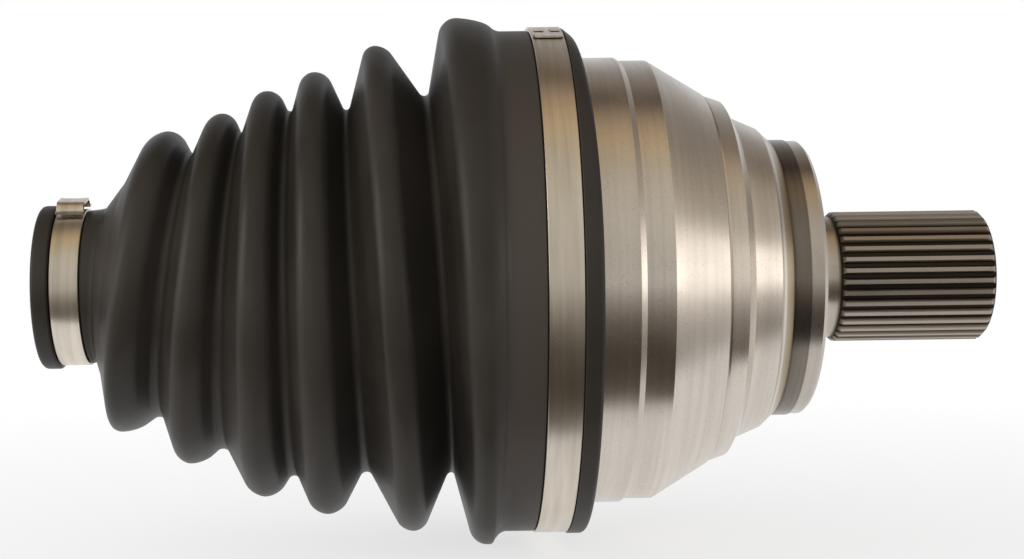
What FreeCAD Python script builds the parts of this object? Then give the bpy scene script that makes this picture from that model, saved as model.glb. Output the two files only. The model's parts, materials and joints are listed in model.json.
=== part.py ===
"""Wheel-side end of a car's drive shaft: a fixed constant-velocity joint with its boot and clamps.

Lengths are in millimetres. The origin is the centre that the joint bends about, +X runs along the
axis towards the wheel hub and +Z is up. Every size is in the sheet, and the pieces take their fits
from the same cells.
"""
import FreeCAD, Part
import math
import os
import re

import Sketcher
from FreeCAD import Placement, Rotation, Vector

# Driving dimensions: name, value, what it measures. Lengths along the axis follow one another.
SIZES = [
    ("ball_diameter", "17.462", "steel ball"),
    ("ball_count", "6", "balls, tracks and windows"),
    ("pitch_radius", "31.5", "ball centre to joint centre"),
    ("track_offset", "2.4", "centre of a track's arc, to each side of the joint centre"),
    ("track_clearance", "0.2", "ball to track, radial"),
    ("bend_limit", "45", "largest bend of the joint, degrees"),
    ("track_runout", "2", "closed end of a track beyond the ball at its limit, degrees"),
    ("track_overrun", "10", "cut beyond the open end of a track, degrees"),
    ("cage_outer_step", "2.1", "cage's outer sphere outside the ball pitch"),
    ("cage_inner_step", "2.4", "cage's inner sphere inside the ball pitch"),
    ("cage_rim", "4.6", "cage beside a window, along the axis"),
    ("sphere_clearance", "0.15", "cage to bell and cage to race, radial"),
    ("window_clearance", "0.25", "ball to window, along the axis"),
    ("window_travel", "1.7", "window beyond the ball, round the cage"),
    ("window_corner", "4", "corner radius of a window"),
    ("race_half_width", "12.5", "half of the inner race's width"),
    ("shaft_spline_radius", "13.4", "bottom of the race's spline gaps"),
    ("shaft_spline_depth", "0.8", "depth of the race's spline gaps"),
    ("shaft_spline_teeth", "30", "teeth in the race's bore"),
    ("race_chamfer", "1", "bore chamfer of the race"),
    ("circlip_wire", "1.8", "wire diameter of the circlip"),
    ("circlip_clearance", "0.1", "circlip to its groove"),
    ("circlip_at", "7.5", "plane of the circlip, from the joint centre"),
    ("circlip_gap", "35", "opening of the circlip, degrees"),
    ("mouth_depth", "18.5", "mouth of the bell, from the joint centre"),
    ("mouth_cone", "5.5", "length of the cone inside the mouth"),
    ("mouth_flare", "6.85", "radius that the cone gains"),
    ("mouth_chamfer", "1.2", "outer edge of the mouth"),
    ("bell_wall", "14.15", "barrel outside the hollow"),
    ("seat_rise", "1.6", "flange under the boot's collar, over the barrel"),
    ("seat_end", "1.5", "end of that flange, from the joint centre"),
    ("bead_groove_depth", "1.2", "groove that holds the boot's bead"),
    ("bead_groove_width", "3", "width of that groove"),
    ("barrel_step_at", "7.4", "turned step in the barrel, from the joint centre"),
    ("barrel_step_length", "1.2", "length of that step"),
    ("barrel_step_drop", "0.7", "radius lost at that step"),
    ("lower_barrel_length", "5.6", "barrel beyond the step"),
    ("dome_length", "11.6", "cone behind the barrel"),
    ("undercut_length", "0.7", "narrow turned groove behind the cone"),
    ("undercut_depth", "0.6", "depth of that groove"),
    ("rib_length", "3.5", "rib behind the groove"),
    ("step_length", "1.9", "step behind the rib"),
    ("crown_length", "5.8", "crown behind the step"),
    ("seal_run_in", "2.9", "slope from the crown to the seal seat"),
    ("seal_seat_length", "3.6", "ground seat of the hub seal"),
    ("pilot_length", "3.4", "pilot between that seat and the hub face"),
    ("seal_seat_radius", "29.8", "radius of the hub seal's seat"),
    ("crown_rise", "2.7", "crown's end over the seal seat"),
    ("crown_swell", "2.5", "radius gained along the crown"),
    ("step_rise", "3.4", "height of the step"),
    ("rib_fall", "1.2", "radius lost along the rib"),
    ("dome_lip", "0.6", "end of the cone over the rib"),
    ("pilot_drop", "0.3", "pilot's radius below the seal seat"),
    ("pilot_chamfer", "0.8", "edge of the pilot"),
    ("stub_neck_length", "6.7", "neck between the hub face and the spline"),
    ("neck_drop", "0.1", "neck below the bottom of the spline's gaps"),
    ("neck_round", "1.5", "slope from the neck to the face"),
    ("hub_spline_length", "32.5", "hub spline, to the stub's free end"),
    ("hub_spline_radius", "14", "tips of the hub spline"),
    ("hub_spline_depth", "0.8", "depth of the hub spline's gaps"),
    ("hub_spline_teeth", "36", "teeth of the hub spline"),
    ("spline_gap_foot", "0.35", "half of a spline gap's width at its bottom"),
    ("spline_flank", "30", "slope of a spline tooth's flank, degrees"),
    ("tooth_chamfer", "0.9", "both ends of the hub spline"),
    ("bolt_bore_radius", "7.25", "core of the axle bolt's thread"),
    ("bolt_countersink", "1.2", "countersink at the stub's end"),
    ("bolt_thread_length", "36", "threaded part of the bore, from the stub's end"),
    ("bolt_relief", "1", "bore behind the thread, over its core"),
    ("floor_radius", "15.5", "flat floor of the bell's hollow"),
    ("cap_radius", "10", "sealing cap's seat in the floor"),
    ("cap_depth", "3.2", "depth of that seat"),
    ("cap_wall", "1.2", "sheet of the sealing cap"),
    ("cap_clearance", "0.02", "sealing cap to its seat"),
    ("boot_clearance", "0.1", "boot to the steel it sits on"),
    ("boot_lip_end", "0.2", "boot's edge beside the barrel, from the joint centre"),
    ("boot_edge_chamfer", "0.6", "outer edges of the boot's two ends"),
    ("boot_wall", "1.6", "wall of the convolutions"),
    ("crest_round", "3.6", "outside rounding of a crest"),
    ("valley_round", "1.1", "outside rounding of a valley"),
    ("collar_wall", "4.2", "boot's large collar on the flange"),
    ("collar_run", "5.2", "from the collar's turn to crest 1"),
    ("clamp_groove_depth", "0.7", "groove in the collar that the large clamp lies in"),
    ("rim_rise", "0.6", "boot's rim beside the large clamp, over the collar"),
    ("stop_lip_height", "2", "boot's inner lip against the bell's mouth"),
    ("large_clamp_at", "7.4", "middle of the large clamp, from the joint centre"),
    ("large_clamp_width", "6.8", "strip width of the large clamp"),
    ("large_clamp_strip", "1", "strip thickness of the large clamp"),
    ("clamp_side_gap", "0.15", "clamps to the sides of their grooves"),
    ("clamp_seat_gap", "0.05", "clamps to their seats"),
    ("tail_angle", "34", "arc of the large clamp's overlapping end, degrees"),
    ("tail_strip", "0.5", "height of that end over the strip"),
    ("tail_turn", "6.5", "middle of that end in front of the top, degrees"),
    ("tail_inset", "0.5", "end narrower than the strip, each side"),
    ("hook_angle", "3", "raised hooks of the large clamp, degrees"),
    ("hook_height", "0.3", "hooks over that end"),
    ("hook_turn", "12", "hooks from the middle of that end, degrees"),
    ("crest_run_1", "4.55", "from the bell's mouth to crest 1"),
    ("valley_run_1", "7.35", "from crest 1 to the valley behind it"),
    ("crest_run_2", "9.4", "from that valley to crest 2"),
    ("valley_run_2", "8.1", "from crest 2 to valley 2"),
    ("crest_run_3", "7.5", "from valley 2 to crest 3"),
    ("valley_run_3", "6.3", "from crest 3 to valley 3"),
    ("crest_run_4", "5.5", "from valley 3 to crest 4"),
    ("valley_run_4", "7.3", "from crest 4 to valley 4"),
    ("crest_run_5", "5.6", "from valley 4 to crest 5"),
    ("valley_run_5", "6.6", "from crest 5 to valley 5"),
    ("crest_run_6", "6.7", "from valley 5 to crest 6"),
    ("neck_run", "8.4", "from crest 6 to the boot's neck"),
    ("crest_rise", "2.6", "crest 1 over the collar"),
    ("crest_fall_2", "4", "crest 2 below crest 1"),
    ("crest_fall_3", "4.7", "crest 3 below crest 2"),
    ("crest_fall_4", "3.9", "crest 4 below crest 3"),
    ("crest_fall_5", "6", "crest 5 below crest 4"),
    ("crest_fall_6", "5.2", "crest 6 below crest 5"),
    ("valley_depth_1", "16", "valley 1 below crest 1"),
    ("valley_depth_2", "14.2", "valley 2 below crest 2"),
    ("valley_depth_3", "9.9", "valley 3 below crest 3"),
    ("valley_depth_4", "10.2", "valley 4 below crest 4"),
    ("valley_depth_5", "9.2", "valley 5 below crest 5"),
    ("small_bore_radius", "13.5", "boot's bore on the shaft bar"),
    ("boot_neck_length", "13.8", "boot's neck, to its small end"),
    ("neck_wall", "3.1", "wall of the boot's neck"),
    ("neck_fillet", "2.2", "outside rounding where the neck starts"),
    ("small_seat_wall", "2.5", "wall under the small clamp"),
    ("end_lip_wall", "4.2", "wall of the lip at the boot's small end"),
    ("end_lip_width", "3.7", "width of that lip"),
    ("small_clamp_width", "6.2", "strip width of the small clamp"),
    ("small_clamp_strip", "0.9", "strip thickness of the small clamp"),
    ("ear_length", "8", "ear of the small clamp, round the neck"),
    ("ear_height", "2", "ear over the strip"),
    ("ear_turn", "12", "middle of the ear in front of the top, degrees"),
    ("ear_sheet", "0.9", "sheet of the ear"),
    ("ear_round", "1.1", "bends of the ear"),
]
CREST_COUNT = 6

# Sizes that follow from the driving ones.
DERIVED = {
    "ball_radius": "ball_diameter / 2",
    "track_radius": "ball_radius + track_clearance",
    "track_arc": "sqrt(pitch_radius ^ 2 + track_offset ^ 2)",
    "track_inside": "track_arc - track_radius",
    "floor_sweep": "bend_limit * 0.5 deg + asin(track_radius / track_arc) + track_runout * 1 deg",
    "mouth_sweep": "asin((mouth_depth - track_offset) / track_inside) + track_overrun * 1 deg",
    "race_sweep": "asin((race_half_width + track_offset) / track_inside) + track_overrun * 1 deg",
    "cage_outer": "pitch_radius + cage_outer_step",
    "cage_inner": "pitch_radius - cage_inner_step",
    "hollow_radius": "cage_outer + sphere_clearance",
    "race_radius": "cage_inner - sphere_clearance",
    "window_half": "ball_radius + window_clearance",
    "window_reach": "ball_radius + window_travel",
    "cage_half": "window_half + cage_rim",
    "shaft_bore": "shaft_spline_radius - shaft_spline_depth",
    "circlip_radius": "shaft_bore + circlip_wire / 4",
    "circlip_groove": "circlip_radius + circlip_wire / 2 + circlip_clearance",
    "circlip_half": "circlip_wire / 2 + circlip_clearance",
    "throat_depth": "mouth_depth - mouth_cone",
    "throat_radius": "sqrt(hollow_radius ^ 2 - throat_depth ^ 2)",
    "barrel_radius": "hollow_radius + bell_wall",
    "seat_radius": "barrel_radius + seat_rise",
    "bead_floor": "seat_radius - bead_groove_depth",
    "bead_half": "bead_groove_width / 2",
    "lower_barrel": "barrel_radius - barrel_step_drop",
    "lower_barrel_at": "barrel_step_at + barrel_step_length",
    "dome_start": "lower_barrel_at + lower_barrel_length",
    "dome_end": "dome_start + dome_length",
    "rib_start": "dome_end + undercut_length",
    "rib_end": "rib_start + rib_length",
    "step_foot": "rib_end + step_length",
    "crown_end": "step_foot + crown_length",
    "seal_seat_start": "crown_end + seal_run_in",
    "seal_seat_end": "seal_seat_start + seal_seat_length",
    "hub_face_at": "seal_seat_end + pilot_length",
    "hub_spline_start": "hub_face_at + stub_neck_length",
    "stub_end": "hub_spline_start + hub_spline_length",
    "crown_end_radius": "seal_seat_radius + crown_rise",
    "step_foot_radius": "crown_end_radius + crown_swell",
    "rib_end_radius": "step_foot_radius + step_rise",
    "rib_radius": "rib_end_radius + rib_fall",
    "dome_end_radius": "rib_radius + dome_lip",
    "pilot_radius": "seal_seat_radius - pilot_drop",
    "hub_root": "hub_spline_radius - hub_spline_depth",
    "stub_neck_radius": "hub_root - neck_drop",
    "bolt_thread_end": "stub_end - bolt_thread_length",
    "bolt_relief_radius": "bolt_bore_radius + bolt_relief",
    "floor_at": "sqrt(hollow_radius ^ 2 - floor_radius ^ 2)",
    "cap_back": "floor_at + cap_depth",
    "cap_outer": "cap_radius - cap_clearance",
    "collar_radius": "seat_radius + boot_clearance + collar_wall",
    "rim_radius": "collar_radius + rim_rise",
    "clamp_groove": "collar_radius - clamp_groove_depth",
    "large_seat": "clamp_groove + clamp_seat_gap",
    "large_outer": "large_seat + large_clamp_strip",
    "large_half": "large_clamp_width / 2",
    "crest_at_1": "mouth_depth + crest_run_1",
    "crest_radius_1": "collar_radius + crest_rise",
    "collar_turn_at": "crest_at_1 - collar_run",
    "neck_start": f"crest_at_{CREST_COUNT} + neck_run",
    "boot_end": "neck_start + boot_neck_length",
    "neck_radius": "small_bore_radius + neck_wall",
    "small_seat_radius": "small_bore_radius + small_seat_wall",
    "end_lip_radius": "small_bore_radius + end_lip_wall",
    "small_seat": "small_seat_radius + clamp_seat_gap",
    "small_outer": "small_seat + small_clamp_strip",
    "small_half": "small_clamp_width / 2",
    "small_clamp_at": "boot_end - end_lip_width - small_half - clamp_side_gap",
}
for number in range(1, CREST_COUNT):
    following = number + 1
    DERIVED[f"valley_at_{number}"] = f"crest_at_{number} + valley_run_{number}"
    DERIVED[f"crest_at_{following}"] = f"valley_at_{number} + crest_run_{following}"
    DERIVED[f"valley_radius_{number}"] = f"crest_radius_{number} - valley_depth_{number}"
    DERIVED[f"crest_radius_{following}"] = f"crest_radius_{number} - crest_fall_{following}"
CELLS = {name for name, value, meaning in SIZES}
WORD = re.compile(r"[a-z]\w*")
TOUCH = 1e-6

doc = FreeCAD.newDocument("CvJoint")
sheet = doc.addObject("Spreadsheet::Sheet", "Sizes")
for row, (name, value, meaning) in enumerate(SIZES, 1):
    sheet.set(f"A{row}", name)
    sheet.set(f"B{row}", value)
    sheet.set(f"C{row}", meaning)
    sheet.setAlias(f"B{row}", name)
doc.recompute()


def bound(text):
    """The expression that binds a property to the sheet, from the sizes' plain names."""

    def cell(match):
        word = match.group()
        if word in DERIVED:
            return f"({bound(DERIVED[word])})"
        return f"Sizes.{word}" if word in CELLS else word

    return WORD.sub(cell, text)


def value_of(text):
    """The number that an expression of the sizes comes to."""
    result = sheet.evalExpression(bound(text))
    return float(getattr(result, "Value", result))


def origin_feature(body, role):
    """One of a body's own origin planes or axes."""
    for feature in body.Origin.OriginFeatures:
        if feature.Role == role:
            return feature
    raise RuntimeError(f"{body.Label} has no {role}")


def new_body(label):
    """An empty body with a label of its own."""
    body = doc.addObject("PartDesign::Body", label)
    body.Label = label
    return body


def new_sketch(body, name, role, along="0"):
    """A sketch on one of its body's origin planes, moved along the plane's normal."""
    sketch = body.newObject("Sketcher::SketchObject", name)
    sketch.AttachmentSupport = [(origin_feature(body, role), "")]
    sketch.MapMode = "FlatFace"
    sketch.setExpression("AttachmentOffset.Base.z", bound(along))
    return sketch


def place_point(sketch, geometry, point, name, across, up):
    """Dimension a point from the sketch's origin. An up of None leaves its height to other rules."""
    for kind, text in (("DistanceX", across), ("DistanceY", up)):
        if text is None:
            continue
        rule = Sketcher.Constraint(kind, -1, 1, geometry, point, value_of(text))
        index = sketch.addConstraint(rule)
        sketch.renameConstraint(index, f"{name}_{kind[-1].lower()}")
        sketch.setExpression(f"Constraints[{index}]", bound(text))


def size_round(sketch, geometry, name, radius):
    """Dimension the radius of a circle or an arc."""
    index = sketch.addConstraint(Sketcher.Constraint("Radius", geometry, value_of(radius)))
    sketch.renameConstraint(index, name)
    sketch.setExpression(f"Constraints[{index}]", bound(radius))


def draw_outline(sketch, corners, arcs=None, name="corner"):
    """A closed outline through dimensioned corners.

    arcs gives, for the corner that an arc starts from, its radius about the sketch's origin.
    """
    arcs = arcs or {}
    count = len(corners)
    first_edge = sketch.GeometryCount
    on_arc = {(start + step) % count for start in arcs for step in (0, 1)}
    spots = [Vector(value_of(across), value_of(up), 0) for across, up in corners]
    ends = []
    for index in range(count):
        start, end = spots[index], spots[(index + 1) % count]
        if index not in arcs:
            sketch.addGeometry(Part.LineSegment(start, end))
            ends.append((1, 2))
            continue
        angles = [math.atan2(spot.y, spot.x) for spot in (start, end)]
        circle = Part.Circle(Vector(), Vector(0, 0, 1), value_of(arcs[index]))
        edge = sketch.addGeometry(Part.ArcOfCircle(circle, min(angles), max(angles)))
        ends.append((1, 2) if angles[0] < angles[1] else (2, 1))
        sketch.addConstraint(Sketcher.Constraint("Coincident", edge, 3, -1, 1))
        size_round(sketch, edge, f"{name}_{index}_radius", arcs[index])
    for index, (across, up) in enumerate(corners):
        before = (index - 1) % count
        edge, point = first_edge + index, ends[index][0]
        joined = (first_edge + before, ends[before][1], edge, point)
        sketch.addConstraint(Sketcher.Constraint("Coincident", *joined))
        height = None if index in on_arc else up
        place_point(sketch, edge, point, f"{name}_{index}", across, height)


def draw_rounded_rectangle(sketch, half_width, half_height, corner):
    """A rectangle about the sketch's origin with rounded corners."""
    wide, high, bend = value_of(half_width), value_of(half_height), value_of(corner)
    quarter = math.pi / 2
    signs = [(1, 1), (-1, 1), (-1, -1), (1, -1)]
    arcs = []
    for turn, (right, top) in enumerate(signs):
        centre = Vector(right * (wide - bend), top * (high - bend), 0)
        circle = Part.Circle(centre, Vector(0, 0, 1), bend)
        edge = sketch.addGeometry(Part.ArcOfCircle(circle, turn * quarter, (turn + 1) * quarter))
        arcs.append(sketch.Geometry[edge])
    for index in range(len(signs)):
        start, end = arcs[index].EndPoint, arcs[(index + 1) % len(signs)].StartPoint
        line = sketch.addGeometry(Part.LineSegment(start, end))
        following = (index + 1) % len(signs)
        sketch.addConstraint(Sketcher.Constraint("Tangent", index, 2, line, 1))
        sketch.addConstraint(Sketcher.Constraint("Tangent", line, 2, following, 1))
    for index, (right, top) in enumerate(signs):
        across = f"{right} * ({half_width} - {corner})"
        up = f"{top} * ({half_height} - {corner})"
        place_point(sketch, index, 3, f"centre_{index}", across, up)
        size_round(sketch, index, f"corner_{index}", corner)


def turn(body, kind, name, sketch, axis="H_Axis", angle="360 deg", back=None):
    """Revolve or groove a sketch about one of its axes, to both sides if a way back is given."""
    feature = body.newObject(f"PartDesign::{kind}", name)
    feature.Profile = sketch
    feature.ReferenceAxis = (sketch, [axis])
    if back:
        feature.Type = "TwoAngles"
        feature.setExpression("Angle2", bound(back))
    feature.setExpression("Angle", bound(angle))
    return feature


def repeat(body, feature, count):
    """Repeat a feature round the X axis."""
    pattern = body.newObject("PartDesign::PolarPattern", f"{feature.Name}Pattern")
    pattern.Originals = [feature]
    pattern.Axis = (origin_feature(body, "X_Axis"), [""])
    pattern.Angle = 360
    pattern.setExpression("Occurrences", bound(count))
    body.Tip = pattern
    return pattern


def on_circle(radius, along):
    """Radius of a point on a sphere about the joint centre, at a distance along the axis."""
    return f"sqrt(({radius}) ^ 2 - ({along}) ^ 2)"


def cut_spline(body, name, start, length, bottom, depth, teeth, inward):
    """Cut the gaps of a straight-sided spline, one pocket repeated round the axis."""
    sketch = new_sketch(body, f"{name}Gap", "YZ_Plane", start)
    side = "-" if inward else "+"
    past_tips = f"2 * {depth}"
    open_half = f"(spline_gap_foot + {past_tips} * tan(spline_flank * 1 deg))"
    open_at = f"{bottom} {side} {past_tips}"
    corners = [
        ("-spline_gap_foot", bottom),
        ("spline_gap_foot", bottom),
        (open_half, open_at),
        (f"-{open_half}", open_at),
    ]
    draw_outline(sketch, corners)
    pocket = body.newObject("PartDesign::Pocket", name)
    pocket.Profile = sketch
    pocket.setExpression("Length", bound(length))
    return repeat(body, pocket, teeth)


def cut_tracks(body, name, centre, angle, back):
    """Cut the ball tracks: one torus groove repeated round the axis."""
    sketch = new_sketch(body, f"{name}Section", "YZ_Plane", centre)
    circle = Part.Circle(Vector(value_of("track_arc"), 0, 0), Vector(0, 0, 1), value_of("track_radius"))
    edge = sketch.addGeometry(circle)
    place_point(sketch, edge, 3, "centre", "track_arc", "0")
    size_round(sketch, edge, "section", "track_radius")
    groove = turn(body, "Groove", name, sketch, "V_Axis", angle, back)
    return repeat(body, groove, "ball_count")


def make_joint_bell():
    """Forged bell and stub: the outer race with its tracks, the seal seat and the hub spline."""
    body = new_body("joint_bell")
    sketch = new_sketch(body, "BellProfile", "XZ_Plane")
    hollow_start = ("floor_at", "floor_radius")
    corners = [
        ("-mouth_depth", "seat_radius - mouth_chamfer"),
        ("mouth_chamfer - mouth_depth", "seat_radius"),
        ("-large_clamp_at - bead_half", "seat_radius"),
        ("-large_clamp_at - bead_half", "bead_floor"),
        ("bead_half - large_clamp_at", "bead_floor"),
        ("bead_half - large_clamp_at", "seat_radius"),
        ("-seat_end", "seat_radius"),
        ("-seat_end", "barrel_radius"),
        ("barrel_step_at", "barrel_radius"),
        ("lower_barrel_at", "lower_barrel"),
        ("dome_start", "lower_barrel"),
        ("dome_end", "dome_end_radius"),
        ("dome_end + undercut_length / 2", "dome_end_radius - undercut_depth"),
        ("rib_start", "rib_radius"),
        ("rib_end", "rib_end_radius"),
        ("step_foot", "step_foot_radius"),
        ("crown_end", "crown_end_radius"),
        ("seal_seat_start", "seal_seat_radius"),
        ("seal_seat_end", "seal_seat_radius"),
        ("seal_seat_end", "pilot_radius"),
        ("hub_face_at - pilot_chamfer", "pilot_radius"),
        ("hub_face_at", "pilot_radius - pilot_chamfer"),
        ("hub_face_at", "stub_neck_radius + neck_round"),
        ("hub_face_at + neck_round", "stub_neck_radius"),
        ("hub_spline_start", "stub_neck_radius"),
        ("hub_spline_start + tooth_chamfer", "hub_spline_radius"),
        ("stub_end - tooth_chamfer", "hub_spline_radius"),
        ("stub_end", "hub_spline_radius - tooth_chamfer"),
        ("stub_end", "bolt_bore_radius + bolt_countersink"),
        ("stub_end - bolt_countersink", "bolt_bore_radius"),
        ("bolt_thread_end", "bolt_bore_radius"),
        ("bolt_thread_end - bolt_relief", "bolt_relief_radius"),
        ("cap_back", "bolt_relief_radius"),
        ("cap_back", "cap_radius"),
        ("floor_at", "cap_radius"),
        hollow_start,
        ("-throat_depth", "throat_radius"),
        ("-mouth_depth", "throat_radius + mouth_flare"),
    ]
    draw_outline(sketch, corners, {corners.index(hollow_start): "hollow_radius"})
    turn(body, "Revolution", "BellForging", sketch)
    cut_tracks(body, "OuterTrack", "-track_offset", "floor_sweep", "mouth_sweep")
    length, depth = "hub_spline_length", "hub_spline_depth"
    cut_spline(body, "HubSpline", "stub_end", length, "hub_root", depth, "hub_spline_teeth", False)
    return body


def make_inner_race():
    """Inner race: a sphere's slice with six tracks and a splined bore for the shaft bar."""
    body = new_body("inner_race")
    sketch = new_sketch(body, "RaceProfile", "XZ_Plane")
    edge = on_circle("race_radius", "race_half_width")
    corners = [
        ("race_half_width", edge),
        ("-race_half_width", edge),
        ("-race_half_width", "shaft_bore + race_chamfer"),
        ("race_chamfer - race_half_width", "shaft_bore"),
        ("circlip_at - circlip_half", "shaft_bore"),
        ("circlip_at - circlip_half", "circlip_groove"),
        ("circlip_at + circlip_half", "circlip_groove"),
        ("circlip_at + circlip_half", "shaft_bore"),
        ("race_half_width - race_chamfer", "shaft_bore"),
        ("race_half_width", "shaft_bore + race_chamfer"),
    ]
    draw_outline(sketch, corners, {0: "race_radius"})
    turn(body, "Revolution", "RaceBlank", sketch)
    cut_tracks(body, "InnerTrack", "track_offset", "race_sweep", "race_sweep")
    width = "2 * race_half_width"
    root, depth = "shaft_spline_radius", "shaft_spline_depth"
    cut_spline(body, "ShaftSpline", "race_half_width", width, root, depth, "shaft_spline_teeth", True)
    return body


def make_ball_cage():
    """Ball cage: a shell between two spheres, with a window for each ball."""
    body = new_body("ball_cage")
    sketch = new_sketch(body, "CageProfile", "XZ_Plane")
    corners = [
        ("cage_half", on_circle("cage_outer", "cage_half")),
        ("-cage_half", on_circle("cage_outer", "cage_half")),
        ("-cage_half", on_circle("cage_inner", "cage_half")),
        ("cage_half", on_circle("cage_inner", "cage_half")),
    ]
    draw_outline(sketch, corners, {0: "cage_outer", 2: "cage_inner"})
    turn(body, "Revolution", "CageShell", sketch)
    opening = new_sketch(body, "WindowOutline", "XZ_Plane")
    draw_rounded_rectangle(opening, "window_half", "window_reach", "window_corner")
    window = body.newObject("PartDesign::Pocket", "Window")
    window.Profile = opening
    window.setExpression("Length", bound("hollow_radius"))
    repeat(body, window, "ball_count")
    return body


def make_ball(index):
    """One steel ball, in the middle of its window."""
    ball = doc.addObject("Part::Sphere", f"ball_{index + 1}")
    ball.Label = f"ball_{index + 1}"
    ball.setExpression("Radius", bound("ball_radius"))
    azimuth = f"({index} * 360 deg / ball_count)"
    ball.setExpression("Placement.Base.y", bound(f"pitch_radius * cos{azimuth}"))
    ball.setExpression("Placement.Base.z", bound(f"pitch_radius * sin{azimuth}"))
    return ball


def make_circlip():
    """Round-wire circlip that holds the shaft bar in the race, its opening upwards."""
    ring = doc.addObject("Part::Torus", "circlip")
    ring.Label = "circlip"
    ring.setExpression("Radius1", bound("circlip_radius"))
    ring.setExpression("Radius2", bound("circlip_wire / 2"))
    ring.setExpression("Angle3", bound("360 deg - circlip_gap * 1 deg"))
    ring.Placement = Placement(Vector(), Rotation(Vector(0, 1, 0), 90))
    ring.setExpression("Placement.Base.x", bound("circlip_at"))
    return ring


def make_sealing_cap():
    """Pressed sheet cap that keeps the grease out of the axle bolt's thread."""
    body = new_body("sealing_cap")
    sketch = new_sketch(body, "CapProfile", "XZ_Plane")
    back = "cap_back - cap_clearance"
    corners = [
        ("floor_at", "0"),
        ("floor_at", "cap_outer"),
        (back, "cap_outer"),
        (back, "cap_outer - cap_wall"),
        ("floor_at + cap_wall", "cap_outer - cap_wall"),
        ("floor_at + cap_wall", "0"),
    ]
    draw_outline(sketch, corners)
    turn(body, "Revolution", "CapPressing", sketch)
    return body


def strip_corners(middle, half, inner, outer):
    """Corners of a strip's section, at a distance from the joint centre on the shaft's side."""
    left, right = f"-({middle}) - ({half})", f"({half}) - ({middle})"
    return [(left, inner), (right, inner), (right, outer), (left, outer)]


def add_strip_arc(body, name, corners, angle, turned):
    """Add a piece of strip over an arc, turned from the top towards the front."""
    sketch = new_sketch(body, f"{name}Section", "XZ_Plane")
    sketch.AttachmentOffset = Placement(Vector(), Rotation(Vector(1, 0, 0), 1))
    sketch.setExpression("AttachmentOffset.Rotation.Angle", bound(turned))
    draw_outline(sketch, corners)
    arc = turn(body, "Revolution", name, sketch, "H_Axis", angle)
    arc.Midplane = True
    return arc


def make_large_clamp():
    """Low-profile strip clamp on the boot's collar, with its overlapping end and two hooks."""
    body = new_body("large_clamp")
    sketch = new_sketch(body, "LargeStripSection", "XZ_Plane")
    draw_outline(sketch, strip_corners("large_clamp_at", "large_half", "large_seat", "large_outer"))
    turn(body, "Revolution", "LargeStrip", sketch)
    middle, half = "large_clamp_at", "large_half - tail_inset"
    inside = "large_seat + large_clamp_strip / 2"
    top = "large_outer + tail_strip"
    corners = strip_corners(middle, half, inside, top)
    add_strip_arc(body, "OverlapEnd", corners, "tail_angle * 1 deg", "tail_turn * 1 deg")
    hook = strip_corners(middle, "large_half - 2 * tail_inset", inside, f"{top} + hook_height")
    for number, side in enumerate(("+", "-"), 1):
        turned = f"tail_turn * 1 deg {side} hook_turn * 1 deg"
        add_strip_arc(body, f"Hook{number}", hook, "hook_angle * 1 deg", turned)
    return body


def make_small_clamp():
    """Ear clamp on the boot's neck, closed on the shaft bar, its ear a little in front of the top."""
    body = new_body("small_clamp")
    sketch = new_sketch(body, "SmallStripSection", "XZ_Plane")
    draw_outline(sketch, strip_corners("small_clamp_at", "small_half", "small_seat", "small_outer"))
    turn(body, "Revolution", "SmallStrip", sketch)
    ear = new_sketch(body, "EarOutline", "YZ_Plane", "-small_clamp_at")
    half, top = "ear_length / 2", "small_outer + ear_height"
    foot = "small_seat + small_clamp_strip / 2"
    draw_outline(ear, [(f"-{half}", foot), (half, foot), (half, top), (f"-{half}", top)], name="outer")
    inner, roof = f"({half} - ear_sheet)", f"{top} - ear_sheet"
    hole = [(f"-{inner}", "small_outer"), (inner, "small_outer"), (inner, roof), (f"-{inner}", roof)]
    draw_outline(ear, hole, name="inner")
    pad = body.newObject("PartDesign::Pad", "Ear")
    pad.Profile = ear
    pad.SideType = "Symmetric"
    pad.setExpression("Length", bound("small_clamp_width"))
    doc.recompute()
    bends = body.newObject("PartDesign::Fillet", "EarBends")
    height = value_of(top)
    tops = []
    for index, edge in enumerate(pad.Shape.Edges, 1):
        box = edge.BoundBox
        if abs(box.ZMin - height) < TOUCH and box.YLength < TOUCH:
            tops.append(f"Edge{index}")
    bends.Base = (pad, tops)
    bends.setExpression("Radius", bound("ear_round"))
    body.Tip = bends
    body.Placement = Placement(Vector(), Rotation(Vector(1, 0, 0), 1))
    body.setExpression("Placement.Rotation.Angle", bound("ear_turn * 1 deg"))
    return body


def straight(points):
    """Straight edges through points of the boot's section, as (x, radius) pairs."""
    spots = [Vector(x, 0, radius) for x, radius in points]
    return [Part.makeLine(start, end) for start, end in zip(spots, spots[1:])]


def rolling_line(circles, first_way, last_way):
    """The line that runs over crests and under valleys, joined by their common tangents.

    A circle is (x, radius of its centre, bend), with a bend below zero where the line passes under
    it. Returns the edges, the first point and the last point.
    """
    ways = [first_way]
    for (x0, r0, bend0), (x1, r1, bend1) in zip(circles, circles[1:]):
        reach = math.hypot(x1 - x0, r1 - r0)
        lean = math.asin((bend1 - bend0) / reach)
        ways.append(math.atan2(r1 - r0, x1 - x0) % math.tau - lean)
    ways.append(last_way)
    edges = []
    ends = []
    for (x, radius, bend), way_in, way_out in zip(circles, ways, ways[1:]):
        middle = (way_in + way_out) / 2
        spots = []
        for way in (way_in, middle, way_out):
            spots.append(Vector(x + bend * math.sin(way), 0, radius - bend * math.cos(way)))
        if ends:
            edges.append(Part.makeLine(ends[-1], spots[0]))
        edges.append(Part.Arc(*spots).toShape())
        ends += [spots[0], spots[2]]
    return edges, (ends[0].x, ends[0].z), (ends[-1].x, ends[-1].z)


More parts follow.
